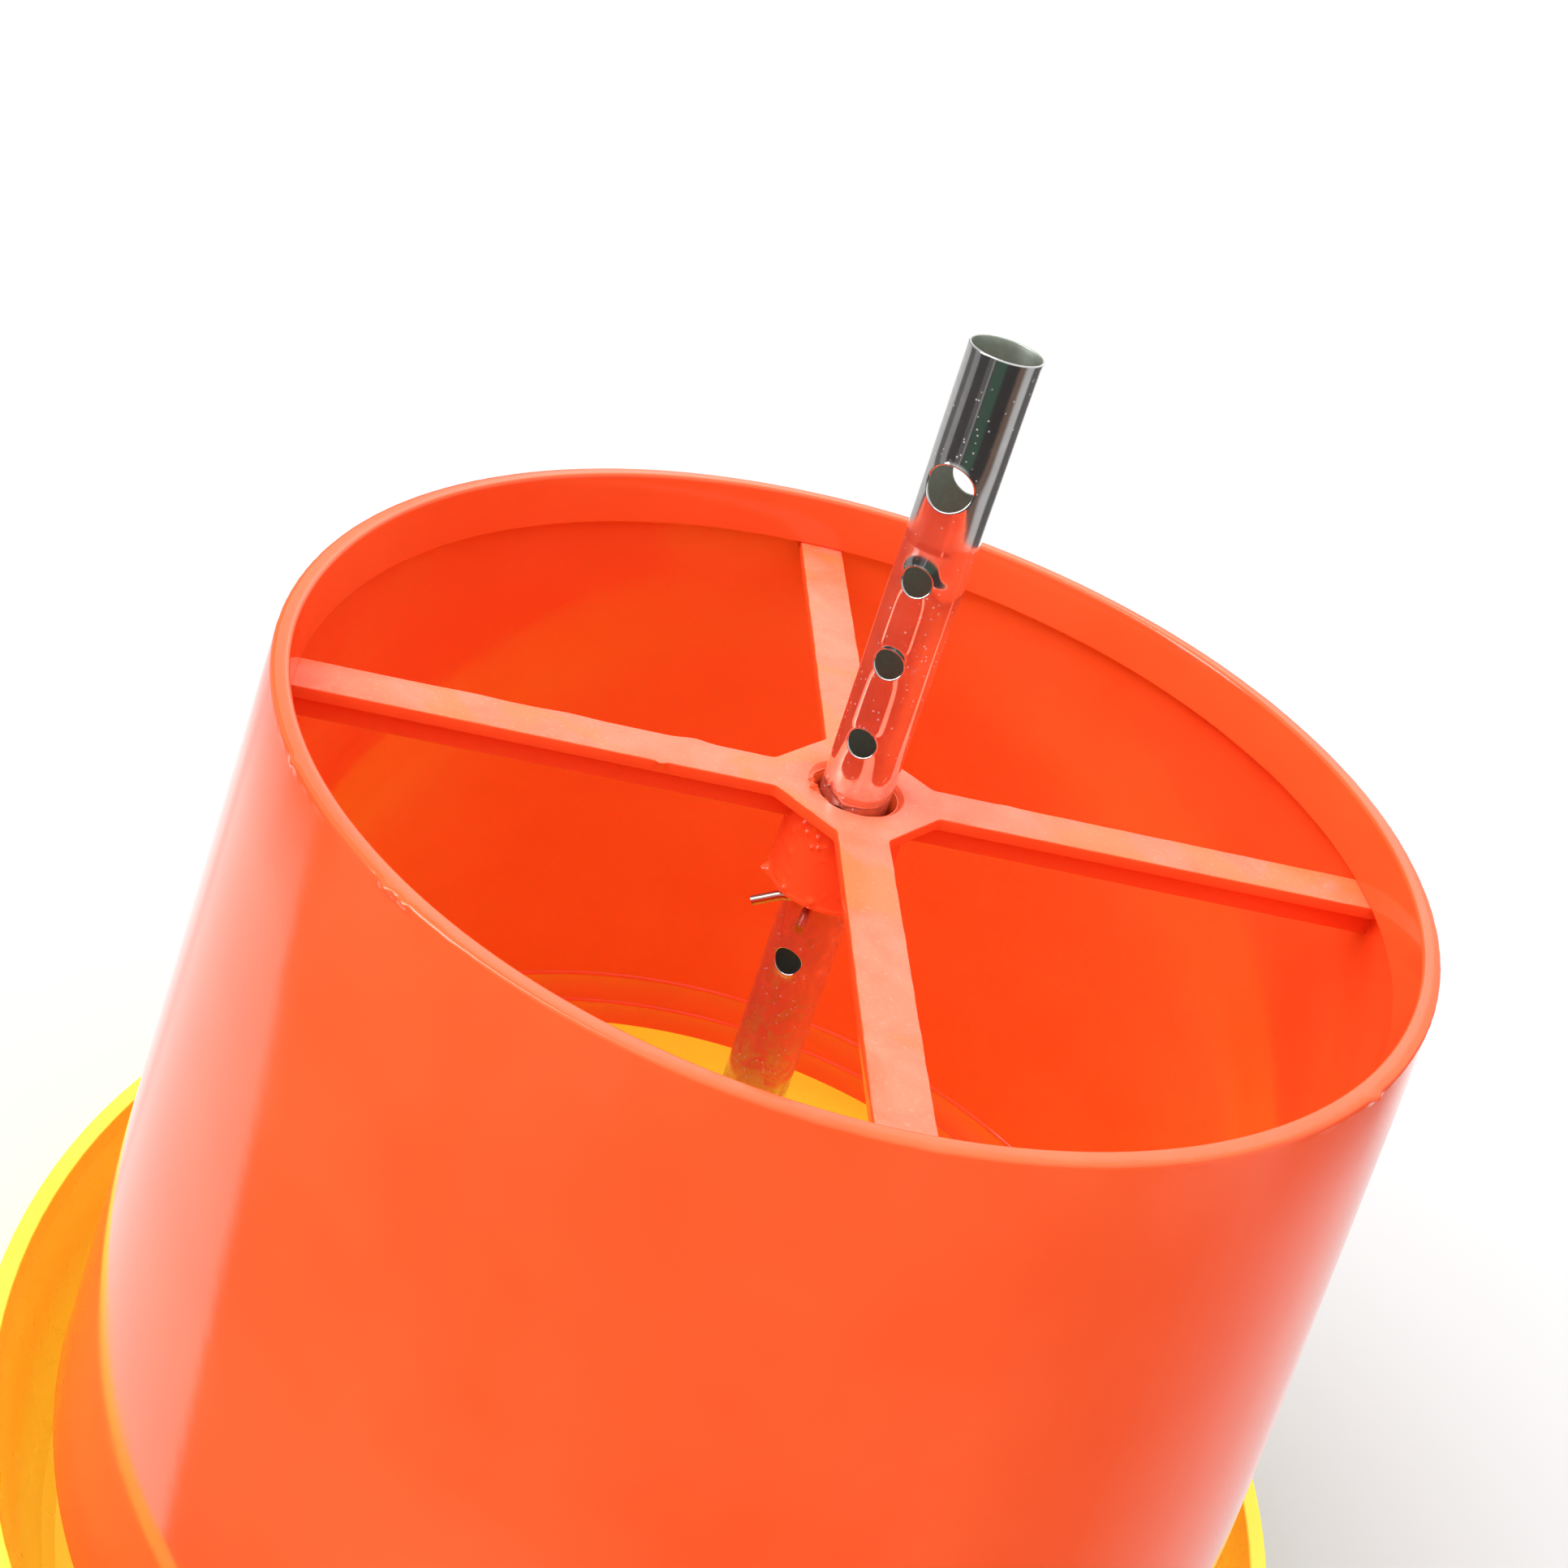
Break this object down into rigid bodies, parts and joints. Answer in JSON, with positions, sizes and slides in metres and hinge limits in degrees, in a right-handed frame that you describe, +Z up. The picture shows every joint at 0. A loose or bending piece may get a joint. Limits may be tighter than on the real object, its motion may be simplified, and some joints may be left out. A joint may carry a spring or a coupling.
{
  "type": "hanging poultry feeder",
  "caption": "Open flared hopper with a crossed spider and a loose hub that stands on a split pin through a drilled tube, over a shallow round feed pan.",
  "frame": {"origin": "centre of the pan's underside, on the feeder's upright axis", "axes": "+Z up along the tube; Y runs along the tube's cross holes and the pins, with the open pin legs at -Y; X completes the right-handed frame"},
  "size_m": [0.335, 0.335, 0.3402],
  "materials": {
    "hopper_plastic": "glossy orange injection-moulded plastic",
    "pan_plastic": "glossy yellow injection-moulded plastic",
    "tube_steel": "bright zinc-plated thin steel tube",
    "pin_steel": "zinc-plated round steel wire"
  },
  "bodies": {
    "stem": {"tube": "tube_steel", "adjusting_pin": "pin_steel", "pan_pin": "pin_steel", "pan": "pan_plastic"},
    "hopper": {"hopper": "hopper_plastic"}
  },
  "joints": [
    {"name": "hopper_slide", "type": "slide", "parent": "stem", "child": "hopper", "axis": [0, 0, 1], "range_m": [0, 0.07]}
  ]
}
